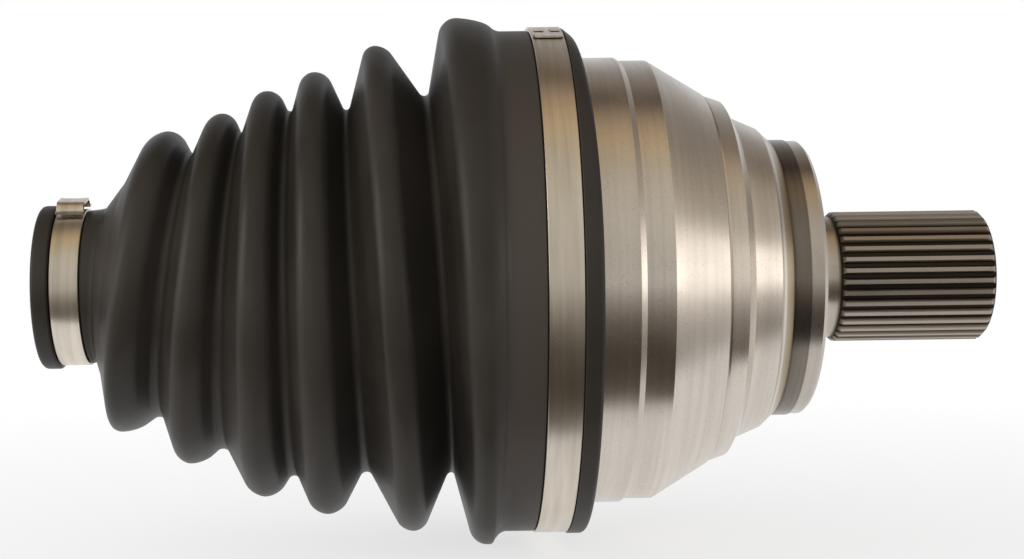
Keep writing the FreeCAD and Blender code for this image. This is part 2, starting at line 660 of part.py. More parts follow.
def make_boot():
    """Moulded boot: a collar on the bell, six convolutions and a neck on the shaft bar."""
    crest, valley = value_of("crest_round"), value_of("valley_round")
    circles = []
    for index in range(1, CREST_COUNT + 1):
        x, radius = -value_of(f"crest_at_{index}"), value_of(f"crest_radius_{index}")
        circles.append((x, radius - crest, crest))
        if index < CREST_COUNT:
            x, radius = -value_of(f"valley_at_{index}"), value_of(f"valley_radius_{index}")
            circles.append((x, radius + valley, -valley))
    neck, fillet = -value_of("neck_start"), value_of("neck_fillet")
    neck_radius = value_of("neck_radius")
    circles.append((neck, neck_radius + fillet, -fillet))
    collar_radius = value_of("collar_radius")
    collar = (-value_of("collar_turn_at"), collar_radius + valley, -valley)
    towards_shaft, outwards = math.pi, math.pi / 2
    skin, skin_start, skin_end = rolling_line([collar] + circles, towards_shaft, towards_shaft)
    wall = value_of("boot_wall")
    inside = [(x, radius, bend - wall) for x, radius, bend in circles]
    lining, lining_start, lining_end = rolling_line(inside, outwards, towards_shaft)

    gap = value_of("boot_clearance")
    edge, chamfer = -value_of("boot_lip_end"), value_of("boot_edge_chamfer")
    seat, rim = value_of("seat_radius") + gap, value_of("rim_radius")
    clamp_groove = value_of("clamp_groove")
    half = value_of("large_half + clamp_side_gap")
    groove_right, groove_left = half - value_of("large_clamp_at"), -half - value_of("large_clamp_at")
    barrel = value_of("barrel_radius") + gap
    large_end = straight([
        (edge, barrel),
        (edge, rim - chamfer),
        (edge - chamfer, rim),
        (groove_right, rim),
        (groove_right, clamp_groove),
        (groove_left, clamp_groove),
        (groove_left, collar_radius),
        skin_start,
    ])
    end, bore = -value_of("boot_end"), value_of("small_bore_radius")
    lip, small_seat = value_of("end_lip_radius"), value_of("small_seat_radius")
    half = value_of("small_half + clamp_side_gap")
    seat_right, seat_left = half - value_of("small_clamp_at"), -half - value_of("small_clamp_at")
    small_end = straight([
        skin_end,
        (seat_right, neck_radius),
        (seat_right, small_seat),
        (seat_left, small_seat),
        (seat_left, lip),
        (end + chamfer, lip),
        (end, lip - chamfer),
        (end, bore),
        (lining_end[0] + bore - lining_end[1], bore),
        lining_end,
    ])
    bead_half = value_of("bead_half") - gap
    bead, bead_at = value_of("bead_floor") + gap, value_of("large_clamp_at")
    mouth, step = -value_of("mouth_depth") - gap, gap - value_of("seat_end")
    inner_end = straight([
        lining_start,
        (lining_start[0], seat - value_of("stop_lip_height")),
        (mouth, seat - value_of("stop_lip_height")),
        (mouth, seat),
        (-bead_at - bead_half, seat),
        (-bead_at - bead_half, bead),
        (bead_half - bead_at, bead),
        (bead_half - bead_at, seat),
        (step, seat),
        (step, barrel),
        (edge, barrel),
    ])
    section = Part.Wire(Part.sortEdges(large_end + skin + small_end + lining + inner_end)[0])
    boot = doc.addObject("Part::Feature", "boot")
    boot.Label = "boot"
    boot.Shape = Part.Face(section).revolve(Vector(), Vector(1, 0, 0), 360)
    boot.Placement = Placement()
    return boot


pieces = [
    make_joint_bell(),
    make_inner_race(),
    make_ball_cage(),
    *[make_ball(index) for index in range(round(value_of("ball_count")))],
    make_circlip(),
    make_sealing_cap(),
    make_large_clamp(),
    make_small_clamp(),
    make_boot(),
]
doc.recompute()

for item in doc.Objects:
    if "Invalid" in item.State or "Error" in item.State:
        raise RuntimeError(f"{item.Label} failed: {item.State}")
for piece in pieces:
    shape = piece.Shape
    if shape.isNull() or not shape.isValid() or len(shape.Solids) != 1:
        raise RuntimeError(f"{piece.Label} is not one valid solid")

os.makedirs("parts", exist_ok=True)
for piece in pieces:
    piece.Shape.exportStep(f"parts/{piece.Label}.step")
    box = piece.Shape.BoundBox
    print(f"{piece.Label}: {piece.Shape.Volume:.0f} mm3, x {box.XMin:.2f} to {box.XMax:.2f}")
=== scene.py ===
"""Looks of a wheel-side drive shaft joint: turned steel, moulded rubber and two band clamps."""
import json
import math

import bmesh
import bpy
from bpy.props import FloatProperty, FloatVectorProperty, IntProperty, PointerProperty
from mathutils import Matrix, Vector


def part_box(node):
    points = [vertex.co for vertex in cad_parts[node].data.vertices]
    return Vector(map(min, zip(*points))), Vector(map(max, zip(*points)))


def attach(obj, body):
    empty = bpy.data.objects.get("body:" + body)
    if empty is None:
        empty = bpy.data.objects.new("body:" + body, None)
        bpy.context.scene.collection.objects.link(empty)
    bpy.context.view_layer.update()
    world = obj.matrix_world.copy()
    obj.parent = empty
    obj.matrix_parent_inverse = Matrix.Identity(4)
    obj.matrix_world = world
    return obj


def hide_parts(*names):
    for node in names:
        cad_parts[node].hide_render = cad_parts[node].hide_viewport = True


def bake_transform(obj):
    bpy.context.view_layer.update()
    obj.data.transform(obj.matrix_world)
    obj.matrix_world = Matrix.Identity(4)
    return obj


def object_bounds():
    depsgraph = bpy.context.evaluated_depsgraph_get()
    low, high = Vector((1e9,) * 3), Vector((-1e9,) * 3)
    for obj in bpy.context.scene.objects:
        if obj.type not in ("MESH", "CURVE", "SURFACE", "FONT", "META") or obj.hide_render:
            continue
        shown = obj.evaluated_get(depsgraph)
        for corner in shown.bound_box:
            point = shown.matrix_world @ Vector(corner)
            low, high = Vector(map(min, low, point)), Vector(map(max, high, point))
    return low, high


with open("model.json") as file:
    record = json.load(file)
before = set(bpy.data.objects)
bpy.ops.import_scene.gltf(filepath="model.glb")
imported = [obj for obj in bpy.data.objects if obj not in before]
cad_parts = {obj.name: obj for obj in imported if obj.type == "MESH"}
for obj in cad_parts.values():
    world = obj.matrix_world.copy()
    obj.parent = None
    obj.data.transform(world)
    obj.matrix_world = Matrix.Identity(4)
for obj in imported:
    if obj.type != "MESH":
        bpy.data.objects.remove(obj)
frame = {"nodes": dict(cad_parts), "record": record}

bl_info = {
    "name": "Drive Shaft Joint Looks",
    "version": (1, 0, 0),
    "blender": (4, 5, 0),
    "location": "3D View > Sidebar > Joint",
    "description": "Dresses a constant velocity joint in steel and rubber and lights it as in a studio",
    "category": "Object",
}

CAD_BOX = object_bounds()
MOUNTS = {mount["name"]: mount for mount in frame["record"]["mounts"]}
BOOT_LOW, BOOT_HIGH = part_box("boot")
BAND_LOW, BAND_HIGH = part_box("large_clamp")
EAR_LOW, EAR_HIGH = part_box("small_clamp")
SHAFT_RADIUS = MOUNTS["boot_small_bore"]["dims"]["r_mm"] / 1000

# Convolutions from the collar to the neck: run to the crest, its radius and half of its rounded top,
# then the run to the valley and its radius.
CONVOLUTIONS = [
    (0.0048, 0.0567, 0.0029, 0.0071, 0.0408),
    (0.0094, 0.0524, 0.0022, 0.0081, 0.0392),
    (0.0075, 0.0477, 0.0026, 0.0063, 0.0394),
    (0.0055, 0.0438, 0.0024, 0.0073, 0.0343),
    (0.0056, 0.0380, 0.0022, 0.0066, 0.0288),
    (0.0067, 0.0329, 0.0024, 0.0084, None),
]
# How each convolution hangs: centre above the axis, and lean of its top towards the bell in degrees.
HANG = [
    (0.0001, -2.7),
    (-0.0012, -3.8),
    (-0.0020, -1.0),
    (-0.0020, 1.0),
    (-0.0007, 5.8),
    (0.0010, 9.3),
]
# Lean of the neck in degrees, then places along the axis and gaps in metres.
NECK_LEAN = 6.0
MOUTH = -0.0185
COLLAR_TURN = -0.0178
GROOVE_GAP = 0.00015
SEAT_GAP = 0.00005
# Roundings as shares: of half a pair of corners, of a crest's half inside, and of the wall in a valley.
CORNER_SHARE = 0.97
INNER_CREST = 0.6
INNER_VALLEY = 0.55
# Share of the rim's width by which its slumped top draws back.
RIM_TUCK = 0.35
# Where the looks of the boot and the bell change, in metres: along the axis, then out from it.
BOOT_ZONES = (-0.030, 0.0)
BELL_ZONES = (0.030, 0.060)
DRILL_END = (0.0518, 0.0524)
SPLINE_START = (0.0535, 0.0543)
THREAD_DEPTH = (0.0074, 0.0077)
BORE_EDGE = (0.0078, 0.0083)
TOOTH_GAPS = (0.01325, 0.01392)
# Sizes of the stage in metres.
FLOOR_GAP = 0.0003
FLOOR_HALF = 6
CARD_LIFT = 0.0005
CARD_MIDDLE = -0.53
CARD_HALF = (4, 0.475)
TENT_RADIUS = 1.2
TENT_HALF = 5
# One over the distance to the camera's circle, and the glow that the floor has there.
FLOOR_NEARNESS = (1.2, 2.3)
FLOOR_GLOW = (1.0, 0.68)
# Strength of the world for diffuse rays, then for the rest.
WORLD_GLOW = (0.45, 1.0)
# The softboxes: name, place, size, power, tint, and whether reflections show it.
LAMPS = (
    ("right_softbox", (0.66, -0.30, 0.05), (0.34, 0.30), 0.44, (1, 0.97, 0.94), True),
    ("left_softbox", (-0.80, -0.22, 0.22), (0.30, 0.50), 1.6, (1, 0.98, 0.95), True),
    ("front_softbox", (-0.34, -0.74, 0.08), (0.50, 0.24), 4.2, (1, 0.97, 0.94), False),
)


def metres(name, text, value):
    """A length property in metres."""
    return FloatProperty(name=name, description=text, default=value, unit="LENGTH", precision=5)


def degrees(name, text, value):
    """An angle property, given in degrees."""
    return FloatProperty(name=name, description=text, default=math.radians(value), unit="ROTATION")


def colour(name, text, value):
    """A colour property."""
    return FloatVectorProperty(
        name=name, description=text, default=value, subtype="COLOR", size=3, min=0, max=1,
    )


def share_of(name, text, value):
    """A plain number between nought and one."""
    return FloatProperty(name=name, description=text, default=value, min=0, max=1)


class BootShape(bpy.types.PropertyGroup):
    """Sizes of the moulded boot that a user would change."""

    wall: metres("Wall", "Wall of the convolutions", 0.0016)
    barrel_radius: metres("Barrel", "Radius of the bell's barrel beside the rim", 0.0480)
    seat_radius: metres("Seat", "Radius of the bell's seat under the collar", 0.0496)
    collar_radius: metres("Collar", "Radius of the large collar", 0.0538)
    groove_depth: metres("Groove", "Depth of the large clamp's groove", 0.0007)
    rim_rise: metres("Rim", "Height of the rim beside the clamp over the collar", 0.0006)
    rim_slump: metres("Rim slump", "How far the rim's free edge slumps at the top", 0.0020)
    valley_half: metres("Valley", "Half of a valley's rounded bottom", 0.0007)
    neck_wall: metres("Neck", "Wall of the neck on the shaft", 0.0031)
    small_seat_wall: metres("Small seat", "Wall under the small clamp", 0.0025)
    end_lip_wall: metres("End lip", "Wall of the lip beside the small clamp", 0.0042)
    steps: IntProperty(name="Steps", description="Facets round the axis", default=144, min=24)


class ClampShape(bpy.types.PropertyGroup):
    """Sizes of the two clamps that a user would change."""

    strip: metres("Strip", "Thickness of the large clamp's strip", 0.001)
    small_strip: metres("Small strip", "Thickness of the small clamp's strip", 0.0009)
    edge: metres("Edge", "Rounding of the strips' edges", 0.00022)
    tail_start: degrees("Tail start", "Start of the overlapping end, in front of the top", -10.5)
    tail_end: degrees("Tail end", "End of the overlapping end, in front of the top", 23.5)
    tail_sheet: metres("Tail sheet", "Thickness of the overlapping end", 0.00045)
    hook_lift: metres("Hook lift", "Lift of the edge of each window over its hook", 0.0003)
    pad_rise: metres("Pad rise", "Height of the plain pad on the overlapping end", 0.00025)
    tail_lift: metres("Tail lift", "Lift of the overlapping end's tip", 0.00022)
    ear_turn: degrees("Ear turn", "Middle of the ear in front of the top", 12)
    ear_length: metres("Ear length", "Ear round the neck", 0.008)
    ear_rise: metres("Ear rise", "Height of the ear over the strip", 0.002)
    ear_sheet: metres("Ear sheet", "Thickness of the ear's sheet", 0.0006)
    ear_pinch: metres("Ear pinch", "How far the ear is squeezed in the middle", 0.0008)


class SteelLook(bpy.types.PropertyGroup):
    """Finish of the turned steel."""

    tint: colour("Tint", "Colour of freshly turned steel", (0.76, 0.70, 0.63))
    # The seal seat's dark colour is a painted reflection of dark surroundings, not a tint of the steel.
    seat: colour("Seal seat", "Dark heat tint of the hardened seal seat", (0.18, 0.16, 0.14))
    roughness: share_of("Roughness", "Roughness across the turning marks", 0.27)
    thread_pitch: metres("Pitch", "Pitch of the axle bolt's thread", 0.0015)


class RubberLook(bpy.types.PropertyGroup):
    """Finish of the boot."""

    tint: colour("Tint", "Colour of the convolutions", (0.019, 0.0165, 0.0135))
    # The collar's lighter colour is a painted sheen.
    collar: colour("Collar", "Colour of the rubbed collar", (0.045, 0.037, 0.031))
    roughness: share_of("Roughness", "Roughness of the moulded skin", 0.42)


class StageSet(bpy.types.PropertyGroup):
    """Camera and light."""

    focal_length: FloatProperty(name="Lens", description="Focal length on a 36 mm sensor", default=62.26)
    distance: metres("Distance", "Camera to the joint's axis", 0.385)
    along: metres("Along", "Camera's place along the axis", -0.0396)
    height: metres("Height", "Camera above the axis", 0.00068)
    roll: degrees("Roll", "Camera's roll", 0.8)
    shift: FloatProperty(name="Shift", description="Sideways shift of the frame", default=0.1143)


def finish_mesh(work, name, flat_above=math.radians(32)):
    """A new object from a closed bmesh, with normals outwards and smooth shading between sharp edges."""
    bmesh.ops.remove_doubles(work, verts=work.verts, dist=1e-7)
    bmesh.ops.recalc_face_normals(work, faces=work.faces)
    for face in work.faces:
        face.smooth = True
    for edge in work.edges:
        edge.smooth = not (edge.is_manifold and edge.calc_face_angle() > flat_above)
    mesh = bpy.data.meshes.new(name)
    work.to_mesh(mesh)
    work.free()
    piece = bpy.data.objects.new(name, mesh)
    bpy.context.scene.collection.objects.link(piece)
    return piece


def add_section(work, points):
    """A face in the XZ plane through (x, radius, rounding) points, its corners rounded by a bevel."""
    corners = [(work.verts.new((x, 0, radius)), rounding) for x, radius, rounding in points]
    work.faces.new([corner for corner, rounding in corners])
    for size in sorted({rounding for corner, rounding in corners if rounding > 0}):
        chosen = [corner for corner, rounding in corners if rounding == size]
        segments = 8 if size > 0.001 else 3
        bmesh.ops.bevel(
            work, geom=chosen, offset=size, offset_type="OFFSET", affect="VERTICES",
            segments=segments, profile=0.5, material=-1,
        )
    return list(work.faces)


def spin_ring(work, points, steps):
    """A closed ring about the X axis from (x, radius, rounding) points."""
    faces = add_section(work, points)
    bmesh.ops.delete(work, geom=faces, context="FACES_ONLY")
    around = dict(cent=(0, 0, 0), axis=(1, 0, 0), angle=math.tau, steps=steps, use_merge=True)
    bmesh.ops.spin(work, geom=list(work.verts) + list(work.edges), **around)


def add_mesh(work, other):
    """Add a bmesh to another one and free it."""
    mesh = bpy.data.meshes.new("part")
    other.to_mesh(mesh)
    other.free()
    work.from_mesh(mesh)
    bpy.data.meshes.remove(mesh)


def add_node(tree, kind, attributes=None, **inputs):
    """A shader node with its inputs, by name or as i0 or i1, set or linked where a socket is given."""
    node = tree.nodes.new(kind)
    for name, value in (attributes or {}).items():
        setattr(node, name, value)
    for name, value in inputs.items():
        by_number = name[0] == "i" and name[1:].isdigit()
        socket = node.inputs[int(name[1:]) if by_number else name]
        if isinstance(value, bpy.types.NodeSocket):
            tree.links.new(value, socket)
        else:
            socket.default_value = value
    return node


def set_ramp(node, stops):
    """Place the stops of a colour ramp."""
    ramp = node.color_ramp
    while len(ramp.elements) > 1:
        ramp.elements.remove(ramp.elements[-1])
    for index, (place, value) in enumerate(stops):
        element = ramp.elements[0] if index == 0 else ramp.elements.new(place)
        element.position = place
        element.color = (*value, 1)


def new_material(name):
    """An empty material with its shader, and the object's coordinates."""
    material = bpy.data.materials.new(name)
    material.use_nodes = True
    tree = material.node_tree
    shader = tree.nodes["Principled BSDF"]
    coordinates = tree.nodes.new("ShaderNodeTexCoord").outputs["Object"]
    return material, tree, shader, coordinates


def noise(tree, vector, scale, detail=3.0, stretch=(1, 1, 1)):
    """Noise on stretched object coordinates."""
    mapped = add_node(tree, "ShaderNodeMapping", Vector=vector, Scale=stretch).outputs["Vector"]
    return add_node(tree, "ShaderNodeTexNoise", Vector=mapped, Scale=scale, Detail=detail).outputs["Fac"]


def remap(tree, value, low, high, to_low, to_high):
    """A value moved from one range to another, and held there."""
    node = add_node(tree, "ShaderNodeMapRange", Value=value)
    for name, number in (("From Min", low), ("From Max", high), ("To Min", to_low), ("To Max", to_high)):
        node.inputs[name].default_value = number
    return node.outputs["Result"]


def mix_colour(tree, share, first, second):
    """Two colours mixed by a share that comes from a socket."""
    node = tree.nodes.new("ShaderNodeMix")
    node.data_type = "RGBA"
    for socket, value in zip((node.inputs[0], node.inputs[6], node.inputs[7]), (share, first, second)):
        if isinstance(value, bpy.types.NodeSocket):
            tree.links.new(value, socket)
        else:
            socket.default_value = (*value, 1)
    return node.outputs[2]


def maths(tree, operation, first, second=0.0):
    """The result of a maths node."""
    return add_node(tree, "ShaderNodeMath", {"operation": operation}, i0=first, i1=second).outputs[0]


def length_of(tree, vector):
    """Length of a vector."""
    return add_node(tree, "ShaderNodeVectorMath", {"operation": "LENGTH"}, i0=vector).outputs["Value"]


def radius_of(tree, place):
    """Distance from the X axis."""
    parts = add_node(tree, "ShaderNodeSeparateXYZ", Vector=place)
    flat = add_node(tree, "ShaderNodeCombineXYZ", Y=parts.outputs["Y"], Z=parts.outputs["Z"])
    return length_of(tree, flat.outputs[0])


def turned_steel():
    """Lathe-turned steel: rings round the X axis, a painted dark reflection band on the seal seat,
    painted shade in the spline gaps and a thread.
    """
    look = bpy.context.scene.joint_steel
    material, tree, shader, place = new_material("turned_steel")
    rings = noise(tree, place, 900, 4, (1, 0.02, 0.02))
    bands = noise(tree, place, 160, 2, (1, 0.04, 0.04))
    cloud = noise(tree, place, 60, 5)
    specks = noise(tree, place, 2600, 2)
    x = add_node(tree, "ShaderNodeSeparateXYZ", Vector=place).outputs["X"]
    radius = radius_of(tree, place)
    along = remap(tree, x, *BELL_ZONES, 0, 1)
    zones = add_node(tree, "ShaderNodeValToRGB", Fac=along)
    tint, seat = tuple(look.tint), tuple(look.seat)
    pale = tuple(channel * 0.78 for channel in tint)
    # Painted shade: line is a thin dark line painted at the step where the crown ends.
    line, dark_band_edge, spline_tone = (0.34, 0.31, 0.27), (0.11, 0.075, 0.05), (0.44, 0.385, 0.33)
    # A brown band leads through a dark edge into the seal seat's painted dark reflection band, then a
    # paler zone.
    set_ramp(zones, [
        (0.0, tint), (0.254, tint), (0.262, line), (0.272, tint), (0.285, tint),
        (0.296, (0.50, 0.42, 0.32)), (0.345, (0.46, 0.37, 0.25)), (0.354, dark_band_edge),
        (0.372, seat), (0.468, seat), (0.478, pale), (0.585, pale), (0.60, tint),
        # A darker tone from the spline onwards.
        (0.79, (0.52, 0.46, 0.39)), (0.83, spline_tone), (1.0, spline_tone),
    ])
    ringed = remap(tree, rings, 0.35, 0.65, 0.0, 0.22)
    worn = mix_colour(tree, ringed, zones.outputs["Color"], (0.42, 0.37, 0.32))
    banded = mix_colour(tree, remap(tree, bands, 0.4, 0.62, 0.0, 0.12), worn, (0.36, 0.32, 0.28))
    spotted = mix_colour(tree, remap(tree, specks, 0.60, 0.72, 0.0, 0.3), banded, (0.24, 0.20, 0.17))
    # Painted shade: the gaps between the spline's teeth are darkened by their radius.
    on_spline = remap(tree, x, *SPLINE_START, 0, 1)
    deep = remap(tree, radius, *TOOTH_GAPS, 1, 0)
    outside_bore = remap(tree, radius, *BORE_EDGE, 0, 1)
    gaps = maths(tree, "MULTIPLY", maths(tree, "MULTIPLY", on_spline, deep), outside_bore)
    dark = mix_colour(tree, gaps, spotted, (0.035, 0.028, 0.022))
    tree.links.new(dark, shader.inputs["Base Color"])
    shader.inputs["Metallic"].default_value = 1
    rough = remap(tree, cloud, 0.3, 0.7, look.roughness - 0.05, look.roughness + 0.07)
    dull = remap(tree, on_spline, 0, 1, 0, 0.14)
    tree.links.new(maths(tree, "ADD", rough, dull), shader.inputs["Roughness"])
    wave = maths(tree, "SINE", maths(tree, "MULTIPLY", x, math.tau / look.thread_pitch))
    in_bore = remap(tree, radius, *THREAD_DEPTH, 1, 0)
    past_drill = remap(tree, x, *DRILL_END, 0, 1)
    wave = maths(tree, "MULTIPLY", wave, maths(tree, "MULTIPLY", in_bore, past_drill))
    cut = add_node(tree, "ShaderNodeBump", Height=wave, Strength=1.0, Distance=0.0006).outputs["Normal"]
    bump = add_node(tree, "ShaderNodeBump", Height=rings, Strength=0.12, Distance=0.00004, Normal=cut)
    tree.links.new(bump.outputs["Normal"], shader.inputs["Normal"])
    return material


def boot_rubber():
    """Moulded rubber: near black, warm, with a fine pebbled skin, a collar lightened as a painted sheen,
    and lighter rubbed patches at random.
    """
    look = bpy.context.scene.joint_rubber
    material, tree, shader, place = new_material("boot_rubber")
    skin = noise(tree, place, 2200, 4)
    cloud = noise(tree, place, 45, 5)
    x = add_node(tree, "ShaderNodeSeparateXYZ", Vector=place).outputs["X"]
    zones = add_node(tree, "ShaderNodeValToRGB", Fac=remap(tree, x, *BOOT_ZONES, 0, 1))
    tint, collar = tuple(look.tint), tuple(look.collar)
    # Painted sheen: the collar is lighter than the convolutions and the rim.
    set_ramp(zones, [
        (0.0, tint), (0.28, tint), (0.42, collar),
        (0.86, collar), (0.88, tint), (1.0, tint),
    ])
    share = remap(tree, cloud, 0.35, 0.7, 0.0, 0.35)
    sheen_and_rubbed = mix_colour(tree, share, zones.outputs["Color"], collar)
    tree.links.new(sheen_and_rubbed, shader.inputs["Base Color"])
    shader.inputs["Specular IOR Level"].default_value = 0.25
    rough = remap(tree, cloud, 0.3, 0.7, look.roughness - 0.06, look.roughness + 0.1)
    tree.links.new(rough, shader.inputs["Roughness"])
    bump = add_node(tree, "ShaderNodeBump", Height=skin, Strength=0.25, Distance=0.00008)
    tree.links.new(bump.outputs["Normal"], shader.inputs["Normal"])
    return material


def plain_steel(name, tint, roughness, grain, stretch):
    """Ground, drawn or polished steel with its grain in one direction."""
    material, tree, shader, place = new_material(name)
    marks = noise(tree, place, grain, 4, stretch)
    cloud = noise(tree, place, 80, 4)
    share = remap(tree, marks, 0.35, 0.68, 0.0, 0.5)
    worn = mix_colour(tree, share, tint, tuple(channel * 0.6 for channel in tint))
    tree.links.new(worn, shader.inputs["Base Color"])
    shader.inputs["Metallic"].default_value = 1
    rough = remap(tree, cloud, 0.3, 0.7, roughness - 0.04, roughness + 0.08)
    tree.links.new(rough, shader.inputs["Roughness"])
    bump = add_node(tree, "ShaderNodeBump", Height=marks, Strength=0.15, Distance=0.00004)
    tree.links.new(bump.outputs["Normal"], shader.inputs["Normal"])
    return material


def strip_steel(name):
    """Rolled strip: its grain runs round the X axis."""
    return plain_steel(name, (0.78, 0.71, 0.61), 0.3, 700, (1, 0.05, 0.05))


def dress(node, material):
    """Give a CAD node its material."""
    mesh = frame["nodes"][node].data
    mesh.materials.clear()
    mesh.materials.append(material)


def rounded_pair(x, half, radius):
    """Two corners whose roundings nearly meet in the middle."""
    return [(x + half, radius, half * CORNER_SHARE), (x - half, radius, half * CORNER_SHARE)]


def boot_section(shape):
    """The boot's section as (x, radius, rounding) points: outside towards the shaft, inside back."""
    foot, wall = shape.valley_half, shape.wall
    collar = shape.collar_radius
    rim, groove = collar + shape.rim_rise, collar - shape.groove_depth
    right, left = BAND_HIGH.x + GROOVE_GAP, BAND_LOW.x - GROOVE_GAP
    barrel, seat = shape.barrel_radius, shape.seat_radius
    outside = [
        (BOOT_HIGH.x, barrel, 0.0002),
        (BOOT_HIGH.x, rim, 0.0011),
        (right, rim, 0.0003),
        (right, groove, 0.0001),
        (left, groove, 0.0001),
        (left, collar, 0.0003),
        (COLLAR_TURN, collar, 0.0012),
    ]
    inside = []
    x = MOUTH
    for run, crest, half, fall, valley in CONVOLUTIONS:
        x -= run
        outside += rounded_pair(x, half, crest)
        inside += rounded_pair(x, half * INNER_CREST, crest - wall)
        x -= fall
        if valley:
            outside += rounded_pair(x, foot, valley)
            inside += rounded_pair(x, foot + wall * INNER_VALLEY, valley - wall)
    neck_inside = x - 0.0028
    seat_right, seat_left = EAR_HIGH.x + GROOVE_GAP, EAR_LOW.x - GROOVE_GAP
    bore, neck = SHAFT_RADIUS, SHAFT_RADIUS + shape.neck_wall
    small_seat, lip = SHAFT_RADIUS + shape.small_seat_wall, SHAFT_RADIUS + shape.end_lip_wall
    outside += [
        (x, neck, 0.0022),
        (seat_right, neck, 0.0003),
        (seat_right, small_seat, 0.0001),
        (seat_left, small_seat, 0.0001),
        (seat_left, lip, 0.0005),
        (BOOT_LOW.x, lip, 0.0009),
        (BOOT_LOW.x, bore, 0.0003),
        (neck_inside, bore, 0.0008),
    ]
    lip_inside, stop, lip_radius, step = MOUTH - 0.0023, MOUTH - 0.0001, seat - 0.002, -0.0014
    inside[0] = (lip_inside, inside[0][1], inside[0][2])
    collar_inside = [
        (lip_inside, lip_radius, 0.0005),
        (stop, lip_radius, 0.0002),
        (stop, seat, 0),
        (step, seat, 0),
        (step, barrel, 0),
    ]
    return outside + inside[::-1] + collar_inside


def hang(x):
    """Height of the boot's centre line and lean of its section at a place along the axis."""
    stations = [(MOUTH, 0.0, 0.0)]
    place = MOUTH
    for (run, _crest, _half, fall, _valley), (height, lean) in zip(CONVOLUTIONS, HANG):
        place -= run
        stations.append((place, height, lean))
        place -= fall
    stations += [(place, stations[-1][1] / 2, NECK_LEAN), (EAR_HIGH.x, 0.0, 0.0)]
    for (x0, h0, l0), (x1, h1, l1) in zip(stations, stations[1:]):
        if x1 <= x <= x0:
            share = (x0 - x) / (x0 - x1)
            share = share * share * (3 - 2 * share)
            return h0 + (h1 - h0) * share, math.radians(l0 + (l1 - l0) * share)
    return 0.0, 0.0


class OBJECT_OT_moulded_boot(bpy.types.Operator):
    """Spin the boot's section and let it hang"""

    bl_idname = "object.moulded_boot"
    bl_label = "Moulded Boot"

    def execute(self, context):
        shape = context.scene.joint_boot
        work = bmesh.new()
        spin_ring(work, boot_section(shape), shape.steps)
        rim_start = BAND_HIGH.x + 0.0002
        rim_width = BOOT_HIGH.x - rim_start
        rim_foot = shape.collar_radius - 2 * shape.groove_depth
        for vert in work.verts:
            height, lean = hang(vert.co.x)
            z = vert.co.z
            if vert.co.x > rim_start and vert.co.yz.length > rim_foot:
                share = (vert.co.x - rim_start) / rim_width
                top = max(0.0, z / shape.collar_radius) ** 2
                height = -shape.rim_slump * share * top
                vert.co.x -= RIM_TUCK * rim_width * share * top
            vert.co.x += z * math.sin(lean)
            vert.co.z = z * math.cos(lean) + height
        boot = finish_mesh(work, "moulded_boot", math.radians(50))
        boot.data.materials.append(boot_rubber())
        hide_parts("boot")
        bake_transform(boot)
        return {"FINISHED"}


def strip_ring(work, low, high, inner, outer, edge, steps=180):
    """A flat strip bent into a ring about the X axis, with rounded edges."""
    corners = [(high, inner, edge), (high, outer, edge), (low, outer, edge), (low, inner, edge)]
    spin_ring(work, corners, steps)


class OBJECT_OT_band_clamp(bpy.types.Operator):
    """Bend the large clamp's strip and lay its overlapping end with two windows over it"""

    bl_idname = "object.band_clamp"
    bl_label = "Band Clamp"

    def execute(self, context):
        shape = context.scene.joint_clamps
        boot = context.scene.joint_boot
        seat = boot.collar_radius - boot.groove_depth + SEAT_GAP
        outer = seat + shape.strip
        ring = bmesh.new()
        strip_ring(ring, BAND_LOW.x, BAND_HIGH.x, seat, outer, shape.edge)

        tail = bmesh.new()
        columns, rows, window_row, pad_row = 16, 40, 33, 6
        bmesh.ops.create_grid(tail, x_segments=columns, y_segments=rows, size=1)
        windows = []
        for face in tail.faces:
            middle = face.calc_center_median()
            column = int((middle.x + 1) / 2 * columns)
            row = int((middle.y + 1) / 2 * rows)
            if row in (window_row, window_row + 1) and (1 <= column <= 5 or 10 <= column <= 14):
                windows.append(face)
        bmesh.ops.delete(tail, geom=windows, context="FACES")
        inset, sink, pad_half, corner_cut = 0.0002, 0.00002, 2.5, math.radians(0.9)
        half = (BAND_HIGH.x - BAND_LOW.x) / 2 - inset
        centre = (BAND_HIGH.x + BAND_LOW.x) / 2
        turn = shape.tail_end - shape.tail_start
        for vert in tail.verts:
            across, along = vert.co.x, (vert.co.y + 1) / 2
            angle = shape.tail_start + turn * along
            lift = shape.tail_lift * max(0.0, (along - 0.9) / 0.1) ** 2
            if abs(along * rows - window_row) < 0.6 and 0.15 < abs(across) < 0.85:
                lift += shape.hook_lift
            pad = max(0.0, 1 - ((along * rows - pad_row) / pad_half) ** 2)
            pad *= max(0.0, 1 - (across / 0.75) ** 4)
            radius = outer - sink + lift + shape.pad_rise * pad
            corner = max(0.0, abs(across) - 0.8) / 0.2
            if along > 0.999:
                angle -= corner_cut * corner * corner
            place = centre + across * half, -radius * math.sin(angle), radius * math.cos(angle)
            vert.co = Vector(place)
        bmesh.ops.recalc_face_normals(tail, faces=tail.faces)
        if tail.faces[0].normal.dot(tail.faces[0].calc_center_median()) < 0:
            bmesh.ops.reverse_faces(tail, faces=tail.faces)
        bmesh.ops.solidify(tail, geom=list(tail.faces), thickness=-shape.tail_sheet)
        steep = math.radians(60)
        rims = [edge for edge in tail.edges if edge.is_manifold and edge.calc_face_angle() > steep]
        bmesh.ops.bevel(
            tail, geom=rims, offset=0.00009, offset_type="OFFSET", affect="EDGES",
            segments=2, profile=0.5, material=-1,
        )
        add_mesh(ring, tail)
        clamp = finish_mesh(ring, "band_clamp")
        clamp.data.materials.append(strip_steel("band_strip"))
        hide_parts("large_clamp")
        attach(clamp, "bell")
        return {"FINISHED"}


